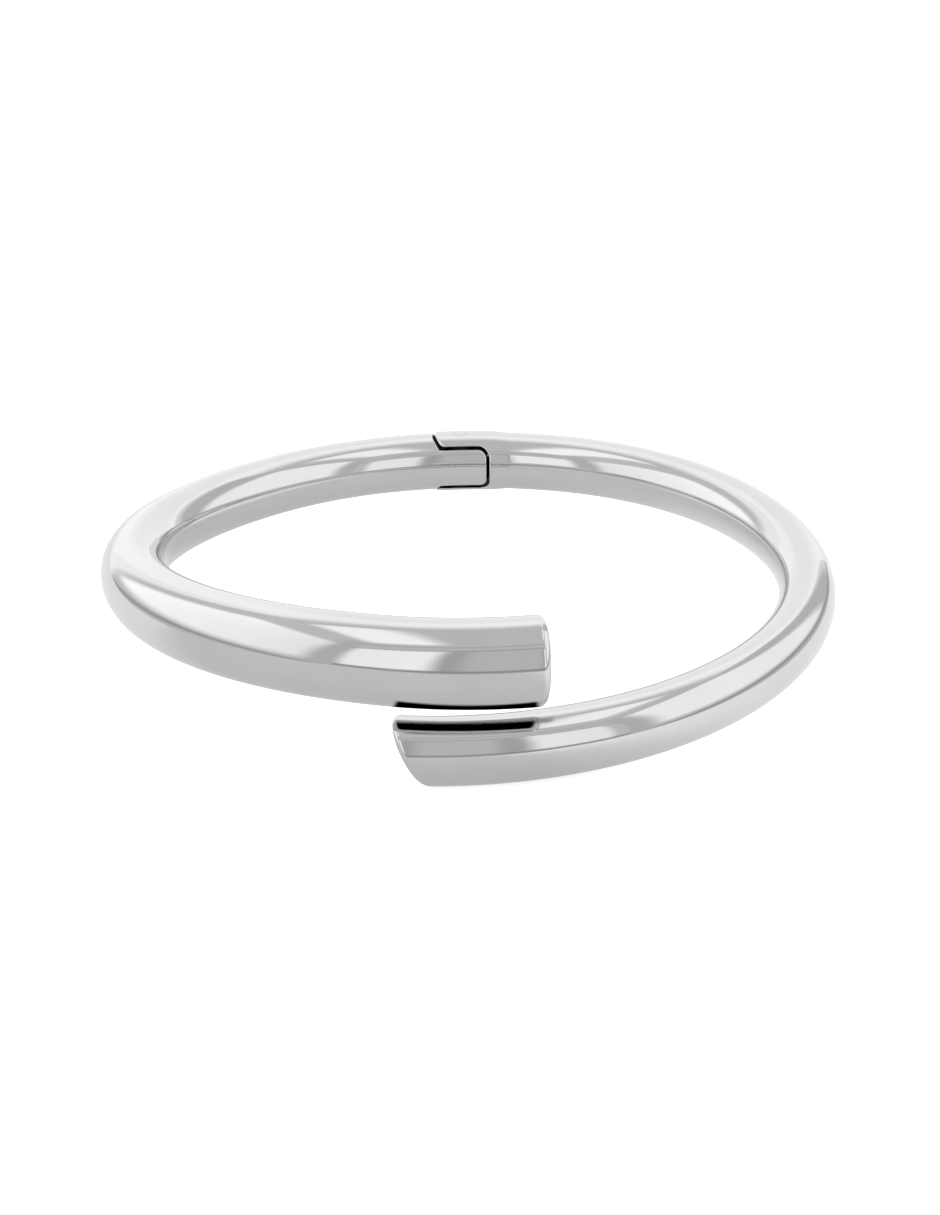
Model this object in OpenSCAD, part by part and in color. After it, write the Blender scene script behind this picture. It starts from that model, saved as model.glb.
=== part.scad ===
// Hinged bypass bangle: two tapered hollow arms pivot on a sprung pin at the
// back, and their closed ends pass one above the other at the front.
// The ring lies in the XY plane, centred on the origin: the hinge is at +Y,
// the crossing ends at -Y, and the hinge pin stands along Z. Millimetres.

/* [Ring] */
// Width of the ring between the tube centre lines
ring_w = 63.6; // [60:0.2:70]
// Depth of the ring from the hinge to the front, between the centre lines
ring_d = 53.6; // [50:0.2:62]
// Width of a tube's oval section over its height
section_ratio = 0.9; // [0.8:0.02:1]
// Wall thickness of the hollow tubes
wall = 0.6; // [0.4:0.05:0.8]

/* [Arms] */
// Height of both tubes at the hinge
hinge_h = 5.7; // [5.5:0.05:6.2]
// Height of the upper arm at its free end
upper_end_h = 8.4; // [6.4:0.1:8.8]
// Height of the lower arm at its free end
lower_end_h = 6.5; // [5.8:0.1:6.8]
// Rise of the upper arm from the hinge to its free end
upper_lift = 4.75; // [4.6:0.05:6]
// Drop of the lower arm from the hinge to its free end
lower_drop = 4.65; // [4.5:0.05:6]

/* [Free ends] */
// How far each arm runs on past the middle of the front
end_overlap = 6.1; // [4:0.1:8]
// Slope of the lower arm's end cut, from upright
lower_end_slope = 26; // [0:1:30]
// Slope of the upper arm's end cut, from upright
upper_end_slope = 2; // [0:1:10]
// Radius of the rounded edge round each end face
end_edge_r = 0.75; // [0.4:0.05:1]
// Length of the end caps at their shortest side
cap_length = 1.1; // [1:0.1:2]

/* [Hinge] */
// How far the hinge pin stands to the left of the middle
pin_shift = 0.7; // [0:0.1:1]
// Radius of the hinge pin
pin_r = 0.6; // [0.5:0.05:0.65]
// Running clearance round the pin
pin_clearance = 0.04; // [0.02:0.01:0.06]
// Radius of the ear tips about the pin
ear_r = 2.5; // [2.4:0.05:2.6]
// Radius of the tongue's outer side about the pin
tongue_r = 3.05; // [3:0.05:3.15]
// Distance from the pin to the tongue's square inner side
heel_x = 2.62; // [2.5:0.02:2.7]
// Half of the tongue's height
tongue_half_h = 1.95; // [1.9:0.05:2]
// Rounding of the tongue's upper and lower edges
tongue_edge_r = 0.8; // [0.5:0.05:0.9]
// Gap of the upright seams
seam_gap = 0.25; // [0.2:0.01:0.3]
// Gap of the level seams, which the two spacers fill
level_gap = 0.3; // [0.25:0.01:0.32]
// How far the ears stand proud of the tubes
ear_swell = 0.16; // [0:0.02:0.2]
// Angle that the upper arm swings open
open_angle = 50; // [40:1:52]

/* [Spring] */
// Diameter of the spring wire
wire_d = 0.34; // [0.28:0.02:0.36]
// Radius of the coil at the middle of its wire
coil_r = 1.2; // [1.15:0.05:1.25]
// Number of turns
turns = 4; // [3:1:4]

/* [Hidden] */

$fn = 48;
STEEL = [0.80, 0.81, 0.82];
DARK_STEEL = [0.55, 0.56, 0.58];

// The two arms, used as an index into the lists below
UPPER = 0;
LOWER = 1;
side = [-1, 1];
half_w = ring_w / 2;
half_d = ring_d / 2;
end_h = [upper_end_h, lower_end_h];
end_z = [upper_lift, -lower_drop];
end_slope = [upper_end_slope, lower_end_slope];

// Along an arm, u is 0 at the back and 1 at the middle of the front
taper_from = [0.08, 0.18];
taper_to = [1.04, 1.05];
lift_from = [0.20, 0.10];
lift_to = [0.92, 1.24];
bow = [0.2, -0.2];
bow_from = 0.4;
swell_full = 2.7;
swell_none = 5.2;
// Near its end an arm loses this share of the oval's curve, and rises with it
flatten_from = 0.9;
flatten = 0.2;
flatten_rise = 0.49;

// One unit of u is this long at the front, where the ends are cut
front_pace = PI * half_w;
end_u = 1 + end_overlap / front_pace;
hinge_joint_u = 0.065;

outer_sides = 24;
bore_sides = outer_sides / 2;
wire_sides = 8;
tube_steps = 40;
bore_steps = 20;
block_steps = 10;
edge_steps = 4;
coil_steps = 14;
block_reach_u = 0.045;
spigot_root_u = 0.01;
spigot_gap = 0.05;

// Heights of the parts inside the hinge
ear_inner_z = tongue_half_h + level_gap;
spacer_gap = 0.02;
spacer_r = 1.5;
pocket_r = 1.6;
pocket_floor_z = -0.7;
cover_h = 0.6;
cover_z = tongue_half_h - cover_h;
leg_slot_w = 0.5;
leg_end_gap = 0.2;
leg_low_z = pocket_floor_z + leg_slot_w / 2;
leg_high_z = cover_z - leg_slot_w / 2;
tongue_leg_reach = 2.2;
fork_leg_reach = 3.9;
stop_r = 0.3;
stop_orbit_r = 1.9;
stop_slot_gap = 0.05;
stop_top_z = -1.25;
stop_floor_z = -2.75;
pin_recess = 0.08;
far = 12;

function unit(v) = v / norm(v);

function turned(p, a) =
    [p[0] * cos(a) - p[1] * sin(a), p[0] * sin(a) + p[1] * cos(a)];

function blend(x, a, b) =
    let (t = max(0, min(1, (x - a) / (b - a)))) t * t * (3 - 2 * t);

// Outward direction and forward direction at u, both level
function outward(arm, u) =
    unit([side[arm] * sin(180 * u) / half_w, cos(180 * u) / half_d, 0]);

function forward(arm, u) =
    unit([side[arm] * half_w * cos(180 * u), -half_d * sin(180 * u), 0]);

// How far the flatter end of an arm lies outside the oval
function flattened(u) =
    let (run = max(0, u - flatten_from) * front_pace)
    flatten * run * run * half_d / (2 * half_w * half_w);

function centre(arm, u) =
    [side[arm] * half_w * sin(180 * u), half_d * cos(180 * u), 0]
    + outward(arm, u) * (bow[arm] * blend(u, bow_from, 1) + flattened(u))
    + [0, 0, end_z[arm] * blend(u, lift_from[arm], lift_to[arm])
        + flatten_rise * flattened(u)];

// The fork stands proud round the hinge and runs down into its tube
function swell(arm, u) =
    let (x = centre(arm, u)[0] + pin_shift)
    arm == LOWER && u < 0.5 ? ear_swell * (1 - blend(x, swell_full, swell_none)) : 0;

function half_height(arm, u) =
    (hinge_h + (end_h[arm] - hinge_h) * blend(u, taper_from[arm], taper_to[arm])) / 2;

// One oval ring of points across an arm, shrunk by inset. slope leans it
// forward with height.
function ring(arm, u, inset, sides, slope = 0) =
    let (c = centre(arm, u), n = outward(arm, u), f = forward(arm, u),
        rise = half_height(arm, u) + swell(arm, u) - inset,
        reach = section_ratio * half_height(arm, u) + swell(arm, u) - inset)
    [for (i = [0 : sides - 1])
        let (a = side[arm] * 360 * i / sides, z = rise * sin(a))
        c + n * reach * cos(a) + [0, 0, z] + f * tan(slope) * z];

// Faces of the wall between the successive rings of a sweep
function wall_faces(sides, rings, first, outside) =
    [for (r = [0 : rings - 2], i = [0 : sides - 1])
        let (a = first + r * sides + i, b = first + r * sides + (i + 1) % sides)
        each outside
            ? [[a, b + sides, b], [a, a + sides, b + sides]]
            : [[a, b, b + sides], [a, b + sides, a + sides]]];

// Flat ring of faces between an outer ring and a bore ring of half as many points
function rim_faces(outer_first, bore_first, start) =
    [for (j = [0 : bore_sides - 1])
        let (o0 = outer_first + 2 * j, o1 = o0 + 1,
            o2 = outer_first + (2 * j + 2) % outer_sides,
            b0 = bore_first + j, b1 = bore_first + (j + 1) % bore_sides)
        each start
            ? [[o0, o1, b0], [o1, o2, b1], [o1, b1, b0]]
            : [[o0, b0, o1], [o1, b1, o2], [o1, b0, b1]]];

// A closed solid through a list of rings
module ring_solid(rings) {
    sides = len(rings[0]);
    last = (len(rings) - 1) * sides;
    polyhedron(
        points = [for (r = rings) each r],
        faces = concat(
            [[for (i = [0 : sides - 1]) i]],
            wall_faces(sides, len(rings), 0, true),
            [[for (i = [sides - 1 : -1 : 0]) last + i]]),
        convexity = 6);
}

function cap_joint_u(arm) =
    end_u - (cap_length + end_edge_r + tan(end_slope[arm]) * end_h[arm] / 2) / front_pace;

function bore_u(arm, k) =
    hinge_joint_u + (cap_joint_u(arm) - hinge_joint_u) * k / bore_steps;

// Hollow arm between its hinge block and its end cap
module arm_tube(arm) {
    us = [for (k = [0 : tube_steps])
        hinge_joint_u + (cap_joint_u(arm) - hinge_joint_u) * k / tube_steps];
    outer = [for (u = us) each ring(arm, u, 0, outer_sides)];
    bore = [for (k = [0 : bore_steps]) each ring(arm, bore_u(arm, k), wall, bore_sides)];
    bore_first = len(outer);
    polyhedron(
        points = concat(outer, bore),
        faces = concat(
            wall_faces(outer_sides, tube_steps + 1, 0, true),
            wall_faces(bore_sides, bore_steps + 1, bore_first, false),
            rim_faces(0, bore_first, true),
            rim_faces(tube_steps * outer_sides,
                bore_first + bore_steps * bore_sides, false)),
        convexity = 10);
}

// Plug that fits the bore between two of the bore's own rings. root_u is
// where it is buried in the solid part that carries it.
module spigot(arm, root_u, from_k, to_k) {
    inset = wall + spigot_gap;
    ring_solid(root_u < bore_u(arm, from_k)
        ? [ring(arm, root_u, inset, bore_sides),
            ring(arm, bore_u(arm, from_k), inset, bore_sides),
            ring(arm, bore_u(arm, to_k), inset, bore_sides)]
        : [ring(arm, bore_u(arm, from_k), inset, bore_sides),
            ring(arm, bore_u(arm, to_k), inset, bore_sides),
            ring(arm, root_u, inset, bore_sides)]);
}

// Cap that closes a tube: its face may slope, and its edge is rounded
module end_cap(arm) {
    joint_u = cap_joint_u(arm);
    edge_u = end_u - end_edge_r / front_pace;
    ring_solid(concat(
        [ring(arm, joint_u, 0, outer_sides),
            ring(arm, (joint_u + edge_u) / 2, 0, outer_sides, end_slope[arm] / 2)],
        [for (k = [0 : edge_steps])
            let (a = 90 * k / edge_steps)
            ring(arm, edge_u + end_edge_r * sin(a) / front_pace,
                end_edge_r * (1 - cos(a)), outer_sides, end_slope[arm])]));
    spigot(arm, (joint_u + edge_u) / 2, bore_steps - 1, bore_steps);
}

// Solid length of an arm at the hinge, running a little past the pin
module hinge_stock(arm) {
    ring_solid([for (k = [0 : block_steps])
        ring(arm, -block_reach_u + (hinge_joint_u + block_reach_u) * k / block_steps,
            0, outer_sides)]);
    spigot(arm, hinge_joint_u - spigot_root_u, 0, 1);
}

module at_pin() {
    translate([-pin_shift, half_d, 0]) children();
}

// Upright hole of radius r right through
module hole(r) {
    cylinder(r = r, h = 2 * far, center = true);
}

module slab(x0, x1, y0, y1, z0, z1) {
    translate([x0, y0, z0]) cube([x1 - x0, y1 - y0, z1 - z0]);
}

// Upright outline of the tongue's end: level top and bottom, rounded corners
module tongue_outline(reach, half_h, edge_r) {
    translate([0, -half_h]) square([reach - edge_r, 2 * half_h]);
    translate([0, edge_r - half_h]) square([reach, 2 * (half_h - edge_r)]);
    for (z = [-1, 1])
        translate([reach - edge_r, z * (half_h - edge_r)]) circle(edge_r);
}

// The tongue's end and neck: round about the pin on the outer side, square on
// the inner side. grow enlarges it sideways to cut its pocket.
module tongue_shape(grow, half_h) {
    edge_r = tongue_edge_r + grow;
    rotate_extrude() tongue_outline(tongue_r + grow, half_h, edge_r);
    rotate([90, 0, 0]) linear_extrude(far)
        tongue_outline(heel_x + grow, half_h, edge_r);
    slab(-far, 0, -far, far, -half_h, half_h);
}

// Everything to the left of the pin and outside a round of radius r
module left_of_round(r) {
    difference() {
        slab(-far, 0, -far, far, -far, far);
        cylinder(r = r, h = 3 * far, center = true);
    }
}

// Straight slot for a spring leg, from x0 to x1
module leg_slot(x0, x1, z0, z1) {
    slab(x0, x1, -coil_r - leg_slot_w / 2, -coil_r + leg_slot_w / 2, z0, z1);
}

// Slot that the fork's spring leg sweeps through the tongue as the arm opens
module leg_window() {
    near = -coil_r - leg_slot_w / 2;
    back = near + leg_slot_w;
    translate([0, 0, leg_high_z - leg_slot_w / 2]) linear_extrude(leg_slot_w)
        polygon([[0, near], [far, near],
            turned([far, back], open_angle), turned([0, back], open_angle)]);
}

module stop_pin_solid() {
    translate([-stop_orbit_r, 0, stop_floor_z])
        cylinder(r = stop_r, h = stop_top_z - stop_floor_z);
}

// Curved groove under the tongue that the stop pin runs in
module stop_groove() {
    slot_r = stop_r + stop_slot_gap;
    depth = stop_top_z + stop_slot_gap + far;
    translate([0, 0, -far]) {
        rotate([0, 0, 180]) rotate_extrude(angle = open_angle)
            translate([stop_orbit_r - slot_r, 0]) square([2 * slot_r, depth]);
        for (a = [180, 180 + open_angle])
            rotate([0, 0, a]) translate([stop_orbit_r, 0]) cylinder(r = slot_r, h = depth);
    }
}

module upper_arm_tube() {
    color(STEEL) arm_tube(UPPER);
}

module upper_end_cap() {
    color(STEEL) end_cap(UPPER);
}

// Middle knuckle of the hinge, on the upper arm
module tongue_block() {
    color(STEEL) difference() {
        intersection() {
            hinge_stock(UPPER);
            at_pin() {
                tongue_shape(0, tongue_half_h);
                left_of_round(ear_r + seam_gap);
            }
        }
        at_pin() {
            hole(pin_r + pin_clearance);
            translate([0, 0, pocket_floor_z]) cylinder(r = pocket_r, h = far);
            leg_slot(-tongue_leg_reach - leg_end_gap, 0,
                pocket_floor_z, leg_low_z + leg_slot_w / 2);
            leg_window();
            stop_groove();
        }
    }
}

// Disc that closes the spring pocket in the tongue
module spring_cover() {
    color(DARK_STEEL) at_pin() translate([0, 0, cover_z]) difference() {
        cylinder(r = pocket_r, h = cover_h);
        hole(pin_r + pin_clearance);
    }
}

module lower_arm_tube() {
    color(STEEL) arm_tube(LOWER);
}

module lower_end_cap() {
    color(STEEL) end_cap(LOWER);
}

// Outer knuckles of the hinge, on the lower arm: two ears and their root
module fork_block() {
    color(STEEL) difference() {
        hinge_stock(LOWER);
        at_pin() {
            tongue_shape(seam_gap, ear_inner_z);
            left_of_round(ear_r);
            hole(pin_r);
            stop_pin_solid();
            leg_slot(0, fork_leg_reach + leg_end_gap,
                leg_high_z - leg_slot_w / 2, leg_high_z + leg_slot_w / 2);
        }
    }
}

module hinge_pin() {
    reach = hinge_h / 2 + ear_swell - pin_recess;
    color(DARK_STEEL) at_pin() cylinder(r = pin_r, h = 2 * reach, center = true);
}

// Round wire swept along a path that never runs straight up
module wire(path, d, sides) {
    last = len(path) - 1;
    ring_solid([for (i = [0 : last])
        let (t = unit(path[min(i + 1, last)] - path[max(i - 1, 0)]),
            s = unit(cross([0, 0, 1], t)), n = cross(t, s))
        [for (k = [0 : sides - 1])
            path[i] + d / 2 * (s * cos(360 * k / sides) + n * sin(360 * k / sides))]]);
}

// Spring round the pin: one leg lies in the tongue and the other in the fork
module torsion_spring() {
    rise = leg_high_z - leg_low_z;
    coil = [for (k = [0 : turns * coil_steps])
        let (a = 270 + 360 * k / coil_steps)
        [coil_r * cos(a), coil_r * sin(a), leg_low_z + rise * k / (turns * coil_steps)]];
    color(DARK_STEEL) at_pin()
        wire(concat([[-tongue_leg_reach, -coil_r, leg_low_z]], coil,
            [[fork_leg_reach, -coil_r, leg_high_z]]), wire_d, wire_sides);
}

module spacer() {
    difference() {
        cylinder(r = spacer_r, h = level_gap - spacer_gap);
        hole(pin_r + spacer_gap);
    }
}

module upper_spacer() {
    color(DARK_STEEL) at_pin() translate([0, 0, tongue_half_h + spacer_gap]) spacer();
}

module lower_spacer() {
    color(DARK_STEEL) at_pin() translate([0, 0, -ear_inner_z]) spacer();
}

// Stands up from the lower ear into the tongue's groove
module stop_pin() {
    color(DARK_STEEL) at_pin() stop_pin_solid();
}

upper_arm_tube();
upper_end_cap();
tongue_block();
spring_cover();
lower_arm_tube();
lower_end_cap();
fork_block();
hinge_pin();
torsion_spring();
upper_spacer();
lower_spacer();
stop_pin();
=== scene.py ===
import math
from collections import namedtuple

import bmesh
import bpy
import numpy as np
from mathutils import Matrix, Vector


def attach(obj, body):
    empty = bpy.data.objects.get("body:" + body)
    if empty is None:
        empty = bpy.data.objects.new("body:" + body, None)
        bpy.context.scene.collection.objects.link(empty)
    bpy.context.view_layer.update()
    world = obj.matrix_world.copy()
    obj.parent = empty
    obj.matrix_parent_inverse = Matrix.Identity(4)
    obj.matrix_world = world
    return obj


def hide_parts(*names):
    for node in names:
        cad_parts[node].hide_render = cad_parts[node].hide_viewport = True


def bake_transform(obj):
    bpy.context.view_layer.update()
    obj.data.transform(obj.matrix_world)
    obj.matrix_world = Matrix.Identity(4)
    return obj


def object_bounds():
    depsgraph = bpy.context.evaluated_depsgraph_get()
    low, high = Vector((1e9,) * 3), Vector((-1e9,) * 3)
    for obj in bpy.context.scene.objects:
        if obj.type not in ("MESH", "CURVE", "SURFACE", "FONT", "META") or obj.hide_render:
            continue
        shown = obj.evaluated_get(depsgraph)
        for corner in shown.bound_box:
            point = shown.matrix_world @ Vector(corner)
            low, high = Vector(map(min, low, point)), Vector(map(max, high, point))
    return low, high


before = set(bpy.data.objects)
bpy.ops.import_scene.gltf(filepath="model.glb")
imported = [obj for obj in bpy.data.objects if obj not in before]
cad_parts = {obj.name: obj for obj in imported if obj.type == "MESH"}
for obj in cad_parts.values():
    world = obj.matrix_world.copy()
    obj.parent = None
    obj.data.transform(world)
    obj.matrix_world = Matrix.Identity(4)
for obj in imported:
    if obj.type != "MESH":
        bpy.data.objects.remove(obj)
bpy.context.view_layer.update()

# Sizes are millimetres here, as in the part's source, and metres once meshed.
MM = 0.001

# Pairs give the upper arm first. An arm's u runs from 0 at the back to 1 in the
# middle of the front, and a little past 1 at its free end.
UPPER, LOWER = 0, 1
SIDE = (-1, 1)
# The oval that both arms follow, and the length of one unit of u at its front
HALF_W, HALF_D = 31.8, 26.8
FRONT_PACE = math.pi * HALF_W
# An arm's section: its width over its height, and its wall
SECTION_RATIO = 0.9
WALL = 0.6
# Heights of the section at the hinge and at the free ends, and where it grows
HINGE_H = 5.7
END_H = (8.4, 6.5)
TAPER = ((0.08, 1.04), (0.18, 1.05))
# How far the free ends rise, and where they do
END_Z = (4.75, -4.65)
LIFT = ((0.20, 0.92), (0.10, 1.24))
# How far the arms bow out of the oval, and from where
BOW = (0.2, -0.2)
BOW_FROM = 0.4
# How far the ears stand proud of the tube, and where that fades, from the pin
SWELL = 0.16
SWELL_FADE = (2.7, 5.2)
# Near its end an arm loses this share of the oval's curve, and rises with it
FLATTEN_FROM = 0.9
FLATTEN = 0.2
FLATTEN_RISE = 0.49
# Where the hinge block hands over to the tube
JOINT_U = 0.065

# Free ends: how far they run on past the middle, and how they are cut and rounded
END_OVERLAP = 6.1
END_U = 1 + END_OVERLAP / FRONT_PACE
END_LEAN = (math.tan(math.radians(2)), math.tan(math.radians(26)))
EDGE_R = 0.75
CAP_LENGTH = 1.1
FACE_DOME = 0.05

# Hinge, measured from the pin: the pin, the ears, and the tongue between them
PIN = (-0.7, HALF_D)
PIN_R = 0.6
PIN_CLEARANCE = 0.04
EAR_R = 2.5
EAR_INNER_Z = 2.25
TONGUE_R = 3.05
TONGUE_Z = 1.95
TONGUE_EDGE_R = 0.8
HEEL_X = 2.62
SEAM_GAP = 0.25
OPEN_ANGLE = math.radians(50)
# The spring's wire, its coil in the tongue's pocket, and a leg to either side
WIRE_R = 0.17
COIL_R = 1.2
TURNS = 4
POCKET_R = 1.6
POCKET_FLOOR_Z = -0.7
LEG_SLOT = 0.25
LEG_REACH = (-2.2, 3.9)
LEG_END_GAP = 0.2
LEG_Y = (-COIL_R - LEG_SLOT, -COIL_R + LEG_SLOT)
LEG_Z = (-0.45, 1.1)
# The stop pin, and the gap round it in its groove
STOP_ORBIT_R = 1.9
STOP_R = 0.3
STOP_GAP = 0.05
STOP_Z = (-2.75, -1.25)

# What a polisher leaves on the sharp edges, and how deep under the skin faces stay
# polished; deeper ones get the seam's painted shade
EDGE_BREAK = 0.16
PIN_BREAK = 0.01
SHADE_DEPTH = 0.2
# How far a hinge block runs on inside its tube, and how far under the skin
TUBE_OVERLAP = 0.15
UNDER_TUBE = 0.003

# Fineness of the meshes
TUBE_SIDES = 160
TUBE_RINGS = 280
BORE_RINGS = 60
CAP_RINGS = 10
FILLET_RINGS = 14
FACE_RINGS = 6
COIL_STEPS = 48
LEG_STEPS = (14, 22)
WIRE_SIDES = 20
WIRE_END_ANGLES = (75, 50, 25)
# A hinge block's net: the lowest and highest corner from the pin, and its step
Net = namedtuple("Net", "low high step")
NETS = {
    "tongue": Net((-6.6, -3.3, -3.1), (3.3, 3.3, 3.1), 0.057),
    "fork": Net((-2.9, -3.6, -3.3), (7.8, 3.3, 3.3), 0.057),
    "pin": Net((-0.8, -0.8, -3.2), (0.8, 0.8, 3.2), 0.035),
}

# Passes and steps of the searches below
CUT_PASSES = 8
STOCK_PASSES = 6
SETTLE_PASSES = 4
SLOPE_STEP = 2e-4
SLOPE_LEAST = 0.05
SURFACE_STEP = 1e-5
TINY = 1e-8


def ease(x, a, b):
    """0 below a, 1 above b and smooth between them."""
    t = np.clip((x - a) / (b - a), 0, 1)
    return t * t * (3 - 2 * t)


# ---------------------------------------------------------------- arm shape


def spine(arm, u):
    """Centre, outward and forward directions, and half sizes of an arm at u."""
    s, c = np.sin(np.pi * u), np.cos(np.pi * u)
    out = np.stack([SIDE[arm] * s / HALF_W, c / HALF_D, 0 * u], -1)
    ahead = np.stack([SIDE[arm] * HALF_W * c, -HALF_D * s, 0 * u], -1)
    out /= np.linalg.norm(out, axis=-1, keepdims=True)
    ahead /= np.linalg.norm(ahead, axis=-1, keepdims=True)
    lift = END_Z[arm] * ease(u, *LIFT[arm])
    mid = np.stack([SIDE[arm] * HALF_W * s, HALF_D * c, lift], -1)
    run = np.maximum(0, u - FLATTEN_FROM) * FRONT_PACE
    flat = FLATTEN * run**2 * HALF_D / (2 * HALF_W**2)
    mid = mid + out * (BOW[arm] * ease(u, BOW_FROM, 1) + flat)[..., None]
    mid[..., 2] += FLATTEN_RISE * flat
    swell = SWELL * (1 - ease(mid[..., 0] - PIN[0], *SWELL_FADE))
    swell = swell * (arm == LOWER) * (u < 0.5)
    half_h = (HINGE_H + (END_H[arm] - HINGE_H) * ease(u, *TAPER[arm])) / 2
    return mid, out, ahead, half_h + swell, SECTION_RATIO * half_h + swell


def sweep(arm, u, angle, inset=0.0):
    """Points on an arm's oval surface, or that much under it."""
    u, angle = np.broadcast_arrays(np.asarray(u, float), angle)
    mid, out, _, rise, reach = spine(arm, u)
    points = mid + out * ((reach - inset) * np.cos(angle))[..., None]
    points[..., 2] += (rise - inset) * np.sin(angle)
    return points


def round_angles(arm):
    """Angles of the points round an arm, the same way about on both arms."""
    return SIDE[arm] * 2 * np.pi * np.arange(TUBE_SIDES) / TUBE_SIDES


def cap_start_u(arm):
    """Where an arm's tube stops and its end cap starts."""
    slant = END_LEAN[arm] * END_H[arm] / 2
    return END_U - (CAP_LENGTH + EDGE_R + slant) / FRONT_PACE


def cut_u(arm, angle, inset, ahead_by):
    """Where along the arm its surface meets the end plane, moved ahead."""
    edge_u = END_U - EDGE_R / FRONT_PACE
    mid, _, ahead, _, _ = spine(arm, np.array(edge_u))
    u = np.full(angle.shape, edge_u)
    for _ in range(CUT_PASSES):
        offset = sweep(arm, u, angle, inset) - mid
        short = END_LEAN[arm] * offset[:, 2] + ahead_by - offset @ ahead
        u = u + short / FRONT_PACE
    return u


# -------------------------------------------------------------- mesh making


def face_outwards(mesh):
    solid = bmesh.new()
    solid.from_mesh(mesh)
    bmesh.ops.recalc_face_normals(solid, faces=solid.faces)
    solid.to_mesh(mesh)
    solid.free()


def make_object(name, points, faces, normals, materials):
    """A closed smooth piece. Its normals come from the true surface."""
    mesh = bpy.data.meshes.new(name)
    mesh.from_pydata(points * MM, [], faces)
    face_outwards(mesh)
    mesh.polygons.foreach_set("use_smooth", np.ones(len(mesh.polygons), bool))
    for material in materials:
        mesh.materials.append(material)
    facing = np.zeros(3 * len(points), np.float32)
    mesh.vertices.foreach_get("normal", facing)
    agree = (normals * facing.reshape(-1, 3)).sum(-1, keepdims=True)
    mesh.normals_split_custom_set_from_vertices(normals * np.where(agree < 0, -1, 1))
    piece = bpy.data.objects.new(name, mesh)
    bpy.context.scene.collection.objects.link(piece)
    return piece


def ring_faces(first, second, sides):
    """Quads between two closed rings that start at these points."""
    i = np.arange(sides)
    j = (i + 1) % sides
    return np.stack([first + i, second + i, second + j, first + j], -1)


def strip_faces(rings, sides, start=0):
    """Quads between successive closed rings of points."""
    return np.concatenate([ring_faces(start + r * sides, start + (r + 1) * sides, sides)
                           for r in range(rings - 1)])


def fan_faces(ring, tip, sides):
    return [[ring + i, tip, ring + (i + 1) % sides] for i in range(sides)]


def ring_normals(rings):
    """Normals of a surface given as an array of closed rings."""
    along = np.gradient(rings, axis=0)
    around = np.roll(rings, -1, 1) - np.roll(rings, 1, 1)
    n = np.cross(around, along)
    return n / np.maximum(np.linalg.norm(n, axis=-1, keepdims=True), 1e-12)


def sweep_normals(arm, u, angle, inset=0.0):
    """Exact normals of the oval surface, so that pieces meet without a line."""
    e = SURFACE_STEP
    along = sweep(arm, u + e, angle, inset) - sweep(arm, u - e, angle, inset)
    around = sweep(arm, u, angle + e, inset) - sweep(arm, u, angle - e, inset)
    n = np.cross(around, along)
    return n / np.linalg.norm(n, axis=-1, keepdims=True)


def arm_tube(name, arm, materials):
    """Hollow arm: its skin, its bore and the two rims between them."""
    angle = round_angles(arm)[None]
    skin_u = np.linspace(JOINT_U, cap_start_u(arm), TUBE_RINGS)[:, None]
    bore_u = np.linspace(JOINT_U, cap_start_u(arm), BORE_RINGS)[:, None]
    skin = sweep(arm, skin_u, angle)
    bore = sweep(arm, bore_u, angle, WALL)
    normals = np.concatenate([
        sweep_normals(arm, skin_u, angle).reshape(-1, 3),
        sweep_normals(arm, bore_u, angle, WALL).reshape(-1, 3),
    ])
    bore_at = TUBE_RINGS * TUBE_SIDES
    bore_end = bore_at + (BORE_RINGS - 1) * TUBE_SIDES
    faces = np.concatenate([
        strip_faces(TUBE_RINGS, TUBE_SIDES),
        strip_faces(BORE_RINGS, TUBE_SIDES, bore_at),
        ring_faces(0, bore_at, TUBE_SIDES),
        ring_faces(bore_at - TUBE_SIDES, bore_end, TUBE_SIDES),
    ])
    points = np.concatenate([skin.reshape(-1, 3), bore.reshape(-1, 3)])
    return make_object(name, points, faces.tolist(), normals, materials)


def cap_rings(arm):
    """Wall, rounded edge and slightly domed face of an arm's closed end."""
    angle = round_angles(arm)
    start = cap_start_u(arm)
    edge = cut_u(arm, angle, 0, 0)
    wall = [sweep(arm, start + t * (edge - start), angle)
            for t in np.linspace(0, 1, CAP_RINGS)]
    fillet = []
    for t in np.linspace(0, np.pi / 2, FILLET_RINGS)[1:]:
        inset = EDGE_R * (1 - math.cos(t))
        fillet.append(sweep(arm, cut_u(arm, angle, inset, EDGE_R * math.sin(t)),
                            angle, inset))
    middle = fillet[-1].mean(0)
    ahead = spine(arm, np.array(END_U))[2]
    face = []
    for t in np.linspace(0, 1, FACE_RINGS + 1)[1:-1]:
        dome = FACE_DOME * (1 - (1 - t) ** 2)
        face.append(fillet[-1] + (middle - fillet[-1]) * t + ahead * dome)
    return wall, fillet, face, middle + ahead * FACE_DOME


def end_cap(name, arm, materials):
    """The closed free end of an arm."""
    wall, fillet, face, tip = cap_rings(arm)
    angle = round_angles(arm)
    rings = np.array(wall + fillet + face)
    normals = ring_normals(rings)
    start = np.full(angle.shape, cap_start_u(arm))
    normals[0] = sweep_normals(arm, start, angle)
    count = len(rings) * TUBE_SIDES
    points = np.concatenate([rings.reshape(-1, 3), tip[None], wall[0].mean(0)[None]])
    ahead = spine(arm, np.array(END_U))[2]
    ends = np.stack([ahead, -ahead])
    normals = np.concatenate([normals.reshape(-1, 3), ends])
    faces = strip_faces(len(rings), TUBE_SIDES).tolist()
    faces += fan_faces(count - TUBE_SIDES, count, TUBE_SIDES)
    faces += fan_faces(0, count + 1, TUBE_SIDES)
    return make_object(name, points, faces, normals, materials)


# ------------------------------------------- hinge blocks as distance fields


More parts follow.
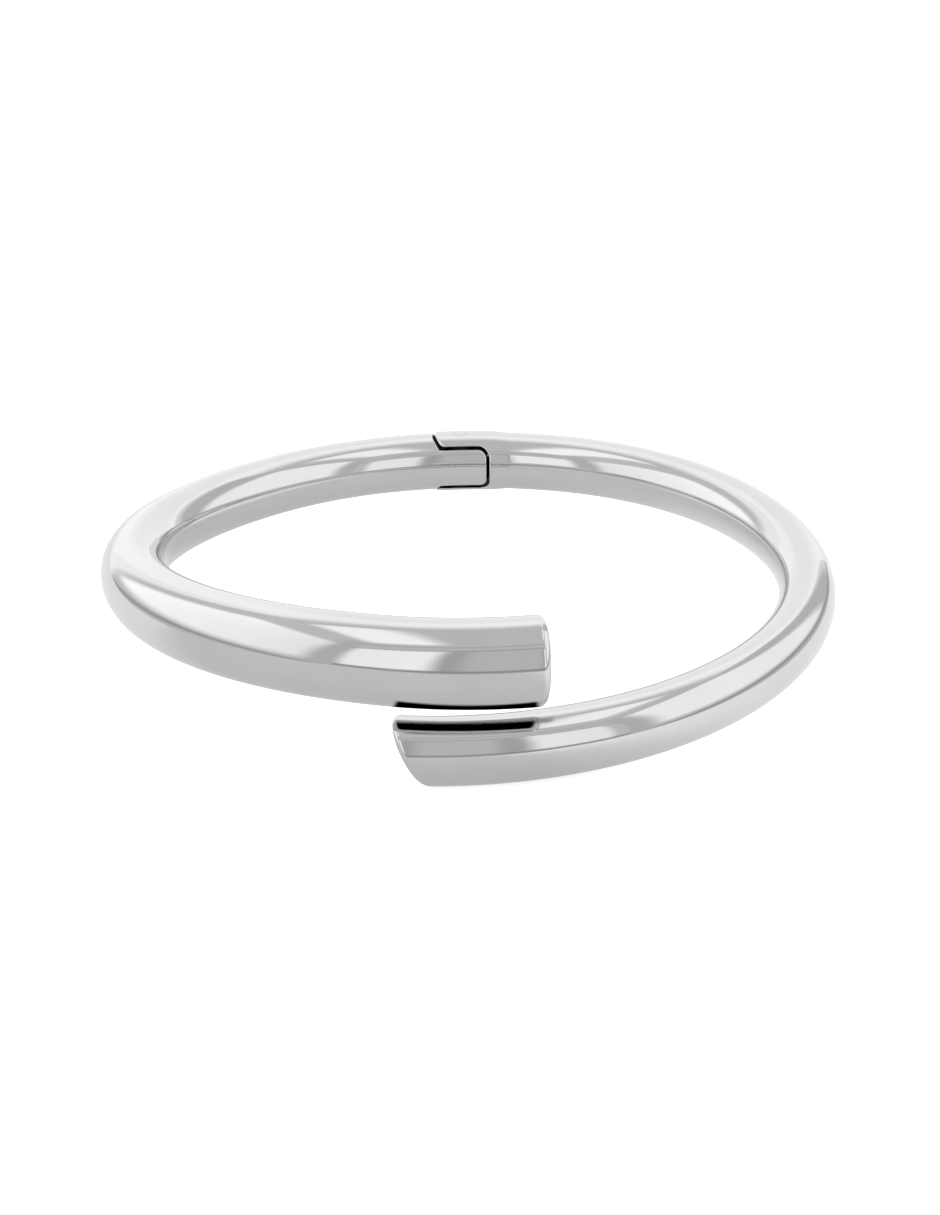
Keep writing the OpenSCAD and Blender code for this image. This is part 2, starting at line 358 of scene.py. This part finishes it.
def round_in(a, b, r):
    """Field of the overlap of two shapes, with the edge between them rounded."""
    u, v = np.maximum(a + r, 0), np.maximum(b + r, 0)
    return np.minimum(-r, np.maximum(a, b)) + np.hypot(u, v)


def rounded_bar(reach, z, limit, half_z, r):
    """Field of a level slab that stops at limit with rounded edges."""
    u = reach - limit + r
    v = np.abs(z) - half_z + r
    outside = np.hypot(np.maximum(u, 0), np.maximum(v, 0))
    return np.minimum(np.maximum(u, v), 0) + outside - r


def stock(arm, x, y, z):
    """Field of an arm's solid oval near the hinge, x and y from the pin."""
    px, py = x + PIN[0], y + PIN[1]
    u = SIDE[arm] * px / FRONT_PACE
    for _ in range(STOCK_PASSES):
        mid, out, ahead, rise, reach = spine(arm, u)
        along = (px - mid[..., 0]) * ahead[..., 0] + (py - mid[..., 1]) * ahead[..., 1]
        u = u + along / FRONT_PACE
    across = (px - mid[..., 0]) * out[..., 0] + (py - mid[..., 1]) * out[..., 1]
    up = z - mid[..., 2]
    far = np.sqrt((across / reach) ** 2 + (up / rise) ** 2 + TINY)
    steep = np.sqrt((across / reach**2) ** 2 + (up / rise**2) ** 2 + TINY / 8)
    return far * (far - 1) / steep


def tongue_shape(x, y, z, grow, half_z):
    """Round on the outer side of the pin, square on the inner side."""
    r = TONGUE_EDGE_R + grow
    disc = rounded_bar(np.hypot(x, y), z, TONGUE_R + grow, half_z, r)
    heel = np.maximum(rounded_bar(x, z, HEEL_X + grow, half_z, r), y)
    neck = np.maximum(np.abs(z) - half_z, x)
    return np.minimum(np.minimum(disc, heel), neck)


def left_of_round(x, y, r):
    """Field of all that lies left of the pin and outside a circle round it."""
    return np.maximum(x, r - np.hypot(x, y))


def upright_hole(x, y, r):
    """Field of an upright round hole at the pin."""
    return np.hypot(x, y) - r


def box_field(x, y, z, xs, ys, zs):
    """Field of a box with these spans."""
    gaps = [np.maximum(lo - v, v - hi)
            for v, (lo, hi) in zip((x, y, z), (xs, ys, zs))]
    return np.maximum(np.maximum(gaps[0], gaps[1]), gaps[2])


def leg_window(x, y, z):
    """What the fork's spring leg sweeps through the tongue as it opens."""
    s, c = math.sin(OPEN_ANGLE), math.cos(OPEN_ANGLE)
    lower = -(y + COIL_R + LEG_SLOT)
    upper = (y * c - x * s) + COIL_R - LEG_SLOT
    return np.maximum(np.maximum(np.maximum(lower, upper), -x),
                      np.abs(z - LEG_Z[1]) - LEG_SLOT)


def stop_groove(x, y, z):
    """Curved groove that the stop pin runs in, from 180 degrees round."""
    r = STOP_R + STOP_GAP
    around = np.mod(np.arctan2(y, x), 2 * np.pi) - np.pi
    near = np.clip(around, 0, OPEN_ANGLE) + np.pi
    gap = np.hypot(x - STOP_ORBIT_R * np.cos(near), y - STOP_ORBIT_R * np.sin(near))
    return np.maximum(gap - r, z - STOP_Z[1] - STOP_GAP)


def tongue_field(x, y, z):
    """Middle knuckle: bored for the pin, pocketed and slotted for the spring."""
    keep = np.minimum(tongue_shape(x, y, z, 0, TONGUE_Z),
                      left_of_round(x, y, EAR_R + SEAM_GAP))
    body = round_in(stock(UPPER, x, y, z), keep, EDGE_BREAK)
    cuts = [
        upright_hole(x, y, PIN_R + PIN_CLEARANCE),
        np.maximum(upright_hole(x, y, POCKET_R), POCKET_FLOOR_Z - z),
        box_field(x, y, z, (LEG_REACH[0] - LEG_END_GAP, 0), LEG_Y,
                  (POCKET_FLOOR_Z, LEG_Z[0] + LEG_SLOT)),
        leg_window(x, y, z),
        stop_groove(x, y, z),
    ]
    for cut in cuts:
        body = np.maximum(body, -cut)
    return body


def fork_field(x, y, z):
    """Outer knuckles and their root, bored for the pin, the stop and the spring."""
    body = stock(LOWER, x, y, z)
    body = round_in(body, -tongue_shape(x, y, z, SEAM_GAP, EAR_INNER_Z), EDGE_BREAK)
    body = round_in(body, -left_of_round(x, y, EAR_R), EDGE_BREAK)
    body = round_in(body, -upright_hole(x, y, PIN_R), PIN_BREAK)
    cuts = [
        np.maximum(upright_hole(x + STOP_ORBIT_R, y, STOP_R),
                   np.maximum(STOP_Z[0] - z, z - STOP_Z[1])),
        box_field(x, y, z, (0, LEG_REACH[1] + LEG_END_GAP), LEG_Y,
                  (LEG_Z[1] - LEG_SLOT, LEG_Z[1] + LEG_SLOT)),
    ]
    for cut in cuts:
        body = np.maximum(body, -cut)
    return body


def pin_field(x, y, z):
    """Hinge pin, with both of its ends polished down to the skin."""
    return round_in(stock(LOWER, x, y, z), upright_hole(x, y, PIN_R), PIN_BREAK)


def inside_tube(arm, field):
    """The same field, cut square just inside the tube that takes over."""
    mid, _, ahead, _, _ = spine(arm, np.array(JOINT_U))

    def cut(x, y, z):
        along = ((x + PIN[0] - mid[0]) * ahead[0]
                 + (y + PIN[1] - mid[1]) * ahead[1])
        under = UNDER_TUBE * ease(along, 0, TUBE_OVERLAP / 2)
        return np.maximum(field(x, y, z) + under, along - TUBE_OVERLAP)

    return cut


# ------------------------------------------------------------- surface nets


def net_edges(values, axis):
    """Grid edges along one axis that cross the surface, and where on them."""
    lower = [slice(None)] * 3
    upper = [slice(None)] * 3
    lower[axis], upper[axis] = slice(None, -1), slice(1, None)
    a, b = values[tuple(lower)], values[tuple(upper)]
    cell = np.argwhere((a < 0) != (b < 0))
    at = tuple(cell.T)
    return cell, a[at] / (a[at] - b[at]), a[at] < 0


def surface_net(field, low, high, step):
    """Points and quads of the surface where a field is zero."""
    axes = [np.arange(a, b, step) for a, b in zip(low, high)]
    values = field(*np.meshgrid(*axes, indexing="ij", sparse=True))
    shape = np.array(values.shape)
    crossings, cells = [], []
    for axis in range(3):
        cell, share, leaving = net_edges(values, axis)
        b, c = np.eye(3, dtype=int)[[(axis + 1) % 3, (axis + 2) % 3]]
        ring = np.stack([cell, cell - b, cell - b - c, cell - c], 1)
        ring[~leaving] = ring[~leaving][:, ::-1]
        cells.append(np.ravel_multi_index(np.moveaxis(ring, 2, 0), shape))
        point = np.array(low) + step * cell
        point[:, axis] += step * share
        crossings.append(np.repeat(point[:, None], 4, 1))
    cells, crossings = np.concatenate(cells), np.concatenate(crossings)
    _, faces = np.unique(cells, return_inverse=True)
    faces = faces.reshape(cells.shape)
    flat = faces.ravel()
    total = np.bincount(flat)
    points = [np.bincount(flat, crossings[..., k].ravel()) / total for k in range(3)]
    return np.stack(points, -1), faces


def slope_of(field, points):
    """How a field changes along x, y and z."""
    slopes = []
    for step in np.eye(3) * SLOPE_STEP:
        rising = field(*(points + step).T) - field(*(points - step).T)
        slopes.append(rising / (2 * SLOPE_STEP))
    return np.stack(slopes, -1)


def settle(field, points, step):
    """Moves net points onto the surface and returns them with its normals."""
    for _ in range(SETTLE_PASSES):
        grad = slope_of(field, points)
        size = np.maximum((grad**2).sum(-1), SLOPE_LEAST)
        move = -(field(*points.T) / size)[:, None] * grad
        length = np.linalg.norm(move, axis=-1, keepdims=True)
        points = points + move * np.minimum(1, 0.5 * step / np.maximum(length, 1e-12))
    grad = slope_of(field, points)
    return points, grad / np.maximum(np.linalg.norm(grad, axis=-1, keepdims=True), 1e-9)


def net_object(name, arm, field, materials):
    """A piece from its field. Faces near its arm's skin get the first material
    and deeper ones the second, which is painted shade where the parts face each other."""
    net = NETS[name]
    points, faces = surface_net(field, *net)
    points, normals = settle(field, points, net.step)
    piece = make_object(name, points + np.array([*PIN, 0]), faces.tolist(),
                        normals, materials)
    middles = points[faces].mean(1)
    # Faces this deep under the skin get painted shade
    shaded_faces = stock(arm, *middles.T) < -SHADE_DEPTH
    piece.data.polygons.foreach_set("material_index", shaded_faces.astype(np.int32))
    return piece


# ------------------------------------------------------------------- spring


def spring_path():
    """Leg in the tongue, the turns round the pin, then the leg in the fork."""
    t = np.linspace(0, 1, COIL_STEPS * TURNS + 1)
    a = 1.5 * np.pi + 2 * np.pi * TURNS * t
    coil = np.stack([COIL_R * np.cos(a), COIL_R * np.sin(a),
                     LEG_Z[0] + (LEG_Z[1] - LEG_Z[0]) * t], -1)
    first = np.linspace(LEG_REACH[0], 0, LEG_STEPS[0], endpoint=False)
    last = np.linspace(LEG_REACH[1], 0, LEG_STEPS[1], endpoint=False)[::-1]
    leg_in = np.stack([first, 0 * first - COIL_R, 0 * first + LEG_Z[0]], -1)
    leg_out = np.stack([last, 0 * last - COIL_R, 0 * last + LEG_Z[1]], -1)
    return np.concatenate([leg_in, coil, leg_out])


def torsion_spring(name, materials):
    """Round wire along the spring's path, with rounded ends."""
    path = spring_path()
    sides = WIRE_SIDES
    tangent = np.gradient(path, axis=0)
    tangent /= np.linalg.norm(tangent, axis=-1, keepdims=True)
    across = np.cross([0, 0, 1], tangent)
    across /= np.linalg.norm(across, axis=-1, keepdims=True)
    up = np.cross(tangent, across)
    a = 2 * np.pi * np.arange(sides) / sides
    spoke = (across[:, None] * np.cos(a)[None, :, None]
             + up[:, None] * np.sin(a)[None, :, None])
    rings = path[:, None] + WIRE_R * spoke
    ends = []
    for at, sign in ((0, -1), (-1, 1)):
        ends.append([path[at] + sign * tangent[at] * WIRE_R * math.sin(t)
                     + WIRE_R * math.cos(t) * spoke[at]
                     for t in np.radians(WIRE_END_ANGLES)])
    rings = np.concatenate([ends[0], rings, ends[1][::-1]])
    normals = ring_normals(rings)
    tips = np.stack([path[0] - tangent[0] * WIRE_R, path[-1] + tangent[-1] * WIRE_R])
    points = np.concatenate([rings.reshape(-1, 3), tips]) + np.array([*PIN, 0])
    normals = np.concatenate([normals.reshape(-1, 3), [-tangent[0], tangent[-1]]])
    count = len(rings) * sides
    faces = strip_faces(len(rings), sides).tolist()
    faces += fan_faces(0, count, sides) + fan_faces(count - sides, count + 1, sides)
    return make_object(name, points, faces, normals, materials)


# ---------------------------------------------------------------- materials


def node(tree, kind, inputs=None, **settings):
    """A new shader node. Its inputs are linked sockets or plain values."""
    made = tree.nodes.new(kind)
    for key, value in settings.items():
        setattr(made, key, value)
    for key, value in (inputs or {}).items():
        if isinstance(value, bpy.types.NodeSocket):
            tree.links.new(value, made.inputs[key])
        else:
            made.inputs[key].default_value = value
    return made


def calc(tree, operation, a, b=0.0, c=0.0):
    return node(tree, "ShaderNodeMath", {0: a, 1: b, 2: c},
                operation=operation).outputs[0]


def remap(tree, value, low, high, to_low, to_high, kind="LINEAR"):
    made = node(tree, "ShaderNodeMapRange",
                {0: value, 1: low, 2: high, 3: to_low, 4: to_high},
                interpolation_type=kind)
    return made.outputs[0]


def noise(tree, at, per_metre, detail=3.0, stretch=(1, 1, 1)):
    """Noise whose features are about 1 / per_metre across."""
    place = node(tree, "ShaderNodeMapping", {"Vector": at, "Scale": stretch})
    made = node(tree, "ShaderNodeTexNoise",
                {"Vector": place.outputs[0], "Scale": per_metre, "Detail": detail})
    return made.outputs["Fac"]


def grey_ramp(tree, value, stops):
    """From one tone to another, each given with its place."""
    ramp = node(tree, "ShaderNodeValToRGB", {"Fac": value})
    for element, (at, tone) in zip(ramp.color_ramp.elements, stops):
        element.position = at
        element.color = (*tone, 1)
    return ramp.outputs["Color"]


# Features per metre of the steel's tones and smudges, and how its scratches mix
TONE_RATE = 140
SMUDGE_RATE = 420
CROSSED_RATE = 0.8
CROSSED_SHARE = 0.6
WORN_SHARE = 0.6
TONE_SPAN = (0.3, 0.7)
SMUDGE_SPAN = (0.35, 0.7)
WORN_SPAN = (0.6, 0.75)


def steel(name, tones, roughness, scratch, stretch, fine):
    """Bare steel: slow tone changes, smudges in the gloss and fine scratches."""
    made = bpy.data.materials.new(name)
    made.use_nodes = True
    tree = made.node_tree
    shader = tree.nodes["Principled BSDF"]
    at = node(tree, "ShaderNodeTexCoord").outputs["Object"]
    slow = noise(tree, at, TONE_RATE, 4)
    smudge = noise(tree, at, SMUDGE_RATE, 5)
    lines = noise(tree, at, fine, 3, stretch)
    turned = (stretch[1], stretch[0], stretch[2])
    crossed = noise(tree, at, fine * CROSSED_RATE, 2, turned)
    tree.links.new(grey_ramp(tree, slow, zip(TONE_SPAN, tones)),
                   shader.inputs["Base Color"])
    gloss = remap(tree, smudge, *SMUDGE_SPAN, *roughness)
    worn = remap(tree, lines, *WORN_SPAN, 0.0, roughness[1] * WORN_SHARE)
    tree.links.new(calc(tree, "ADD", gloss, worn), shader.inputs["Roughness"])
    marks = calc(tree, "ADD", lines, calc(tree, "MULTIPLY", crossed, CROSSED_SHARE))
    bump = node(tree, "ShaderNodeBump",
                {"Strength": 1.0, "Distance": scratch, "Height": marks})
    tree.links.new(bump.outputs[0], shader.inputs["Normal"])
    shader.inputs["Metallic"].default_value = 1.0
    return made


POLISHED = steel("polished_steel", ((0.655, 0.655, 0.66), (0.69, 0.69, 0.693)),
                 (0.035, 0.075), 4e-8, (1, 1, 6), 9000)
# Near-black steel: painted shade on faces deep in the hinge, where the parts face each
# other
SEAM_SHADE = steel("seam_painted_shade", ((0.02, 0.02, 0.021), (0.05, 0.049, 0.047)),
             (0.4, 0.6), 1.5e-6, (1, 1, 8), 7000)
TURNED = steel("plain_steel", ((0.42, 0.42, 0.43), (0.52, 0.52, 0.525)),
               (0.2, 0.34), 8e-7, (1, 1, 9), 12000)
DRAWN = steel("spring_wire", ((0.34, 0.34, 0.35), (0.43, 0.42, 0.41)),
              (0.16, 0.3), 5e-7, (1, 1, 12), 16000)


# -------------------------------------------------------------------- pieces


def place(piece, body, slot, *nodes):
    """Hangs a piece on its body, in the stead of these CAD nodes."""
    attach(piece, body)
    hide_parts(*nodes)


place(arm_tube("upper_tube", UPPER, (POLISHED,)), "upper_arm", "polished_steel",
      "upper_arm_tube")
place(arm_tube("lower_tube", LOWER, (POLISHED,)), "lower_arm", "polished_steel",
      "lower_arm_tube")
place(end_cap("upper_cap", UPPER, (POLISHED,)), "upper_arm", "polished_steel",
      "upper_end_cap")
place(end_cap("lower_cap", LOWER, (POLISHED,)), "lower_arm", "polished_steel",
      "lower_end_cap")

# Polished outside, and near-black as painted shade where they face each other
both = (POLISHED, SEAM_SHADE)
tongue = net_object("tongue", UPPER, inside_tube(UPPER, tongue_field), both)
place(tongue, "upper_arm", "polished_steel", "tongue_block")
fork = net_object("fork", LOWER, inside_tube(LOWER, fork_field), both)
place(fork, "lower_arm", "polished_steel", "fork_block")
pin = net_object("pin", LOWER, pin_field, both)
place(pin, "lower_arm", "polished_steel", "hinge_pin")

spring = torsion_spring("spring", (DRAWN,))
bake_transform(spring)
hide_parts("torsion_spring")

# The CAD's own shapes are true enough here and only get their looks; the spacers between
# the knuckles get the seam's painted shade.
for name, material in (("spring_cover", TURNED), ("stop_pin", TURNED),
                       ("upper_spacer", SEAM_SHADE), ("lower_spacer", SEAM_SHADE)):
    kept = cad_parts[name]
    kept.data.materials.clear()
    kept.data.materials.append(material)

# --------------------------------------------------------------------- stage

# The floor's half size in metres, the even light on it, and its paper, whose glow to the
# camera is painted light that hides most of the ring's shadow on it
FLOOR_HALF = 4.0
SKY = 1.2
PAPER = 0.95
PAPER_GLOW = 0.6
PAPER_ROUGHNESS = 0.9
GRAIN_RATE = 900
GRAIN = (0.985, 1.0)
# Painted brightness of the paper in mirror images: painted shade under the ring,
# painted light to its right and to the left inside it
PAINTED_MIRROR_LIGHT = (0.75, 1.06, 0.98)
# The share of it painted as glow, which the ring's own shade doesn't reach
MIRRORED_GLOW_SHARE = 0.65
# How far right it turns to the second, how far left to the third, and from what
# y on, with how soft an edge, that holds
PAPER_RIGHT = (4.5, 30.5)
PAPER_LEFT = (16, 42)
PAPER_INSIDE = (-14, 20)


def position(tree):
    """Where a point of the stage is, in millimetres, when the bangle is shut."""
    at = node(tree, "ShaderNodeTexCoord").outputs["Object"]
    scaled = node(tree, "ShaderNodeVectorMath", {0: at, "Scale": 1 / MM},
                  operation="SCALE")
    return node(tree, "ShaderNodeSeparateXYZ", {0: scaled.outputs[0]}).outputs


def over(tree, tone, share, level):
    """The tone, with this share of it replaced by a level."""
    return node(tree, "ShaderNodeMix", {0: share, 2: tone, 3: level}).outputs[0]


def rise(tree, value, at, soft):
    """0 below a place and 1 above it."""
    return remap(tree, value, at - soft / 2, at + soft / 2, 0, 1, "SMOOTHSTEP")


def band(tree, value, low, high, soft):
    """1 between low and high, with soft edges."""
    below = calc(tree, "SUBTRACT", 1.0, rise(tree, value, high, soft))
    return calc(tree, "MULTIPLY", rise(tree, value, low, soft), below)


def floor_material():
    """Matt pale paper, which glows to the camera. In the steel it shows a painted
    brightness: painted shade under the ring, painted light to its right and inside it on
    the left, part of it as glow.
    """
    made = bpy.data.materials.new("paper")
    made.use_nodes = True
    tree = made.node_tree
    shader = tree.nodes["Principled BSDF"]
    x, y, _ = position(tree)
    # Painted shade under the ring and painted light to its right and inside it on the
    # left, seen only in the steel
    under, right, left = PAINTED_MIRROR_LIGHT
    tone = over(tree, under, remap(tree, x, *PAPER_RIGHT, 0, 1, "SMOOTHSTEP"), right)
    away = calc(tree, "MULTIPLY", x, -1.0)
    lit = calc(tree, "MULTIPLY", remap(tree, away, *PAPER_LEFT, 0, 1, "SMOOTHSTEP"),
               rise(tree, y, *PAPER_INSIDE))
    tone = over(tree, tone, lit, left)
    light = node(tree, "ShaderNodeLightPath")
    even = calc(tree, "MULTIPLY", tone, MIRRORED_GLOW_SHARE)
    shaded = calc(tree, "MULTIPLY", tone, (1 - MIRRORED_GLOW_SHARE) / SKY)
    tone = over(tree, PAPER, light.outputs["Is Glossy Ray"], shaded)
    at = node(tree, "ShaderNodeTexCoord").outputs["Object"]
    grain = remap(tree, noise(tree, at, GRAIN_RATE, 6), *TONE_SPAN, *GRAIN)
    grained = calc(tree, "MULTIPLY", tone, grain)
    tree.links.new(node(tree, "ShaderNodeCombineColor",
                        {0: grained, 1: grained, 2: grained}).outputs[0],
                   shader.inputs["Base Color"])
    # Glow to the camera, and in the steel a painted glow
    glow = calc(tree, "MULTIPLY", light.outputs["Is Camera Ray"], PAPER_GLOW)
    glow = over(tree, glow, light.outputs["Is Glossy Ray"], even)
    tree.links.new(glow, shader.inputs["Emission Strength"])
    shader.inputs["Emission Color"].default_value = (1, 1, 1, 1)
    shader.inputs["Roughness"].default_value = PAPER_ROUGHNESS
    shader.inputs["Specular IOR Level"].default_value = 0.0
    return made


def stage_sheet(name, corners, material):
    """A flat piece of the stage through four corners in millimetres."""
    mesh = bpy.data.meshes.new(name)
    mesh.from_pydata([Vector(corner) * MM for corner in corners], [], [(0, 1, 2, 3)])
    mesh.materials.append(material)
    sheet = bpy.data.objects.new(name, mesh)
    bpy.context.scene.collection.objects.link(sheet)
    return sheet


FLOOR_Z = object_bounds()[0][2] / MM


def make_floor():
    h = FLOOR_HALF / MM
    z = FLOOR_Z
    stage_sheet("floor", [(-h, -h, z), (h, -h, z), (h, h, z), (-h, h, z)],
                floor_material())


make_floor()

# The pale tent that the ring was photographed in, seen only in mirror images
TENT_X = (-106, 116)
TENT_Y = (-151, 152)
TENT_TOP = 211
FAR = 999
EVERYWHERE = (-FAR, FAR)

# A soft-edged panel on a wall of the tent: its brightness, its spans across and
# up the wall, how soft their edges are, how much brighter it gets per mm across,
# and how far its far edge leans per mm up
Panel = namedtuple("Panel", "level across up soft gain lean",
                   defaults=(EVERYWHERE, (28, 20), 0.0, 0.0))


def tent_tone(tree, a, b, paper, panels):
    """Brightness of a wall: its paper, with panels laid over it."""
    tone = paper
    for panel in panels:
        (start, end), (soft_across, soft_up) = panel.across, panel.soft
        leant = calc(tree, "MULTIPLY_ADD", b, -panel.lean, a)
        back = calc(tree, "MULTIPLY", leant, -1.0)
        share = calc(tree, "MULTIPLY", rise(tree, a, start, soft_across),
                     rise(tree, back, -end, soft_across))
        share = calc(tree, "MULTIPLY", share, band(tree, b, *panel.up, soft_up))
        level = calc(tree, "MULTIPLY_ADD", a, panel.gain, panel.level)
        tone = over(tree, tone, share, level)
    return tone


def joint_tone(tree, tone, a, z, level, height, width, tilt=0, bow=0):
    """Darkens a joint in the paper, at this height in the middle of the wall. It
    rises by tilt and bow 100 mm from there."""
    far = calc(tree, "MULTIPLY", a, 0.01)
    curve = calc(tree, "MULTIPLY", far, calc(tree, "MULTIPLY_ADD", far, bow, tilt))
    above = calc(tree, "SUBTRACT", z, curve)
    line = band(tree, above, height - width / 2, height + width / 2, width)
    return over(tree, tone, line, level)


def only_mirrored(sheet):
    """Leaves a sheet to be seen in the steel alone, not by the camera."""
    sheet.visible_camera = False
    sheet.visible_diffuse = False
    sheet.visible_shadow = False
    sheet.visible_transmission = False


def tent_wall(name, corners, tone_of):
    """A glowing wall whose brightness is worked out from a point's place."""
    made = bpy.data.materials.new(name)
    made.use_nodes = True
    made.cycles.emission_sampling = "NONE"
    tree = made.node_tree
    tree.nodes.remove(tree.nodes["Principled BSDF"])
    tone = tone_of(tree, *position(tree))
    glow = node(tree, "ShaderNodeEmission", {"Strength": tone})
    tree.links.new(glow.outputs[0], tree.nodes["Material Output"].inputs["Surface"])
    only_mirrored(stage_sheet(name, corners, made))


def left_tone(tree, x, y, z):
    tone = tent_tone(tree, y, z, 0.72, (
        Panel(1.17, (86, FAR), soft=(36, 20)),
        Panel(0.60, (-FAR, -112), soft=(34, 20)),
        Panel(1.32, (-115, 80), (14, 139), gain=0.002, lean=-0.475),
    ))
    return joint_tone(tree, tone, y, z, level=0.44, height=2.8, width=8.5,
                      tilt=-6.9, bow=-12.9)


def right_tone(tree, x, y, z):
    tone = tent_tone(tree, y, z, 0.64, (
        Panel(0.94, (128, FAR), soft=(30, 20)),
        Panel(0.60, (-FAR, -128), soft=(34, 20)),
        Panel(1.20, (-115, 68), (15, 186), lean=-0.235),
    ))
    return joint_tone(tree, tone, y, z, level=0.42, height=6.5, width=8.5,
                      tilt=4.1, bow=-6.6)


def front_tone(tree, x, y, z):
    tone = tent_tone(tree, x, z, 0.65, (
        Panel(0.69, (85, FAR), soft=(50, 20)),
        Panel(0.69, (-FAR, -85), soft=(50, 20)),
        Panel(0.50, (-40, -20), (-FAR, 130), soft=(14, 18)),
        Panel(0.50, (24, 46), (-FAR, 130), soft=(14, 18)),
        Panel(1.20, (-99, -36), (4, 142), soft=(14, 18)),
        Panel(1.13, (42, 99), (4, 142), soft=(14, 18)),
    ))
    tone = joint_tone(tree, tone, x, z, level=0.40, height=140, width=8)
    tone = joint_tone(tree, tone, x, z, level=0.45, height=196, width=8)
    return joint_tone(tree, tone, x, z, level=0.36, height=1, width=10)


def back_tone(tree, x, y, z):
    return tent_tone(tree, x, z, 1.26, (
        Panel(1.24, (65, FAR), soft=(50, 20)),
        Panel(1.14, (-38, 83), (-FAR, 160), soft=(43, 30)),
        Panel(1.15, EVERYWHERE, (-FAR, 5), soft=(20, 10)),
    ))


def top_tone(tree, x, y, z):
    return tent_tone(tree, x, y, 0.68, (
        Panel(1.23, EVERYWHERE, (83, FAR), soft=(20, 88)),
        Panel(1.28, (-96, -42), (-130, 29), soft=(22, 22)),
        Panel(1.24, (37, 90), (-97, 25), soft=(22, 22)),
    ))


def make_tent():
    (l, r), (f, b), low, top = TENT_X, TENT_Y, FLOOR_Z, TENT_TOP
    tent_wall("left_wall", [(l, f, low), (l, b, low), (l, b, top), (l, f, top)],
              left_tone)
    tent_wall("right_wall", [(r, f, low), (r, b, low), (r, b, top), (r, f, top)],
              right_tone)
    tent_wall("front_wall", [(l, f, low), (r, f, low), (r, f, top), (l, f, top)],
              front_tone)
    tent_wall("back_wall", [(l, b, low), (r, b, low), (r, b, top), (l, b, top)],
              back_tone)
    tent_wall("tent_top", [(l, f, top), (r, f, top), (r, b, top), (l, b, top)],
              top_tone)


make_tent()

# Black cards fixed to the ends, where each end mirrors the other: painted shade in each
# end's mirror image of the other. The one on the upper end is met by light going up, the
# one on the lower end by light going down.
# Their height, and where each is black; the rest of each is a clear margin.
CARD_Z = 0.4
CARD_RISING_X = (-6.6, 7.0)
CARD_FALLING_X = (-7.4, 5.6)
CARD_RISING_Y = (-27.4, -26.6)
CARD_FALLING_Y = (-29.5, -26.0)
CARD_SOFT = 0.6
CARD_BACK_SOFT = 1.8
CARD_MARGIN = 1.5
CARD_FORWARD = 0.4
CARD_LEAN = 0.055


def painted_shade_card(name, body, span_x, span_y, lean, met_from_behind):
    """A level card in the gap between the ends that is black from one side only, as
    painted shade in their mirror images.
    """
    made = bpy.data.materials.new(name)
    made.use_nodes = True
    tree = made.node_tree
    tree.nodes.remove(tree.nodes["Principled BSDF"])
    x, y, _ = position(tree)
    y = calc(tree, "ADD", calc(tree, "MULTIPLY_ADD", x, lean, CARD_FORWARD), y)
    front, back = span_y
    share = calc(tree, "MULTIPLY", band(tree, x, *span_x, CARD_SOFT),
                 rise(tree, y, front, CARD_SOFT))
    rest = calc(tree, "SUBTRACT", 1.0, rise(tree, y, back, CARD_BACK_SOFT))
    share = calc(tree, "MULTIPLY", share, rest)
    behind = node(tree, "ShaderNodeNewGeometry").outputs["Backfacing"]
    if not met_from_behind:
        behind = calc(tree, "SUBTRACT", 1.0, behind)
    share = calc(tree, "MULTIPLY", share, behind)
    clear = node(tree, "ShaderNodeBsdfTransparent").outputs[0]
    black = node(tree, "ShaderNodeBsdfDiffuse", {"Color": (0, 0, 0, 1)}).outputs[0]
    card = node(tree, "ShaderNodeMixShader", {0: share, 1: clear, 2: black})
    tree.links.new(card.outputs[0], tree.nodes["Material Output"].inputs["Surface"])
    (l, r), (f, b), m = span_x, span_y, CARD_MARGIN
    corners = [(l - m, f - m), (r + m, f - m), (r + m, b + m), (l - m, b + m)]
    sheet = stage_sheet(name, [(*corner, CARD_Z) for corner in corners], made)
    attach(sheet, body)
    only_mirrored(sheet)


# Painted shade where the ends cross, seen only in the steel
painted_shade_card("rising_shade_card", "upper_arm", CARD_RISING_X, CARD_RISING_Y, -CARD_LEAN, True)
painted_shade_card("falling_shade_card", "lower_arm", CARD_FALLING_X, CARD_FALLING_Y, CARD_LEAN,
           False)


def make_world():
    """Even light that reaches only the paper."""
    world = bpy.data.worlds.new("studio")
    bpy.context.scene.world = world
    world.use_nodes = True
    world.cycles.sampling_method = "NONE"
    background = world.node_tree.nodes["Background"]
    background.inputs["Color"].default_value = (1, 1, 1, 1)
    background.inputs["Strength"].default_value = SKY


make_world()

# The camera stands on the photograph's line of sight. Metres and radians here.
CAMERA_DISTANCE = 0.416
CAMERA_RISE = 0.4554
CAMERA_YAW = 0.0112
CAMERA_ROLL = 0.0096
CAMERA_LENS = 130.28
SENSOR_WIDTH = 36.0
AIM_DOWN = 0.0028
AIM_LEFT = 0.000117


def make_camera():
    """Looks at the ring's middle, a little low and to the left of it."""
    data = bpy.data.cameras.new("camera")
    data.lens = CAMERA_LENS
    data.sensor_width = SENSOR_WIDTH
    camera = bpy.data.objects.new("camera", data)
    bpy.context.scene.collection.objects.link(camera)
    sy, cy = math.sin(CAMERA_YAW), math.cos(CAMERA_YAW)
    se, ce = math.sin(CAMERA_RISE), math.cos(CAMERA_RISE)
    back = Vector((-sy * ce, -cy * ce, se))
    level = Vector((cy, -sy, 0))
    up = back.cross(level)
    sr, cr = math.sin(CAMERA_ROLL), math.cos(CAMERA_ROLL)
    right = level * cr - up * sr
    up = level * sr + up * cr
    spot = back * CAMERA_DISTANCE
    back = (spot - (-up * AIM_DOWN - right * AIM_LEFT)).normalized()
    up = (up - back * up.dot(back)).normalized()
    right = up.cross(back)
    turn = Matrix((right, up, back)).transposed().to_4x4()
    camera.matrix_world = Matrix.Translation(spot) @ turn
    bpy.context.scene.camera = camera


make_camera()
bpy.context.scene.view_settings.view_transform = "Standard"
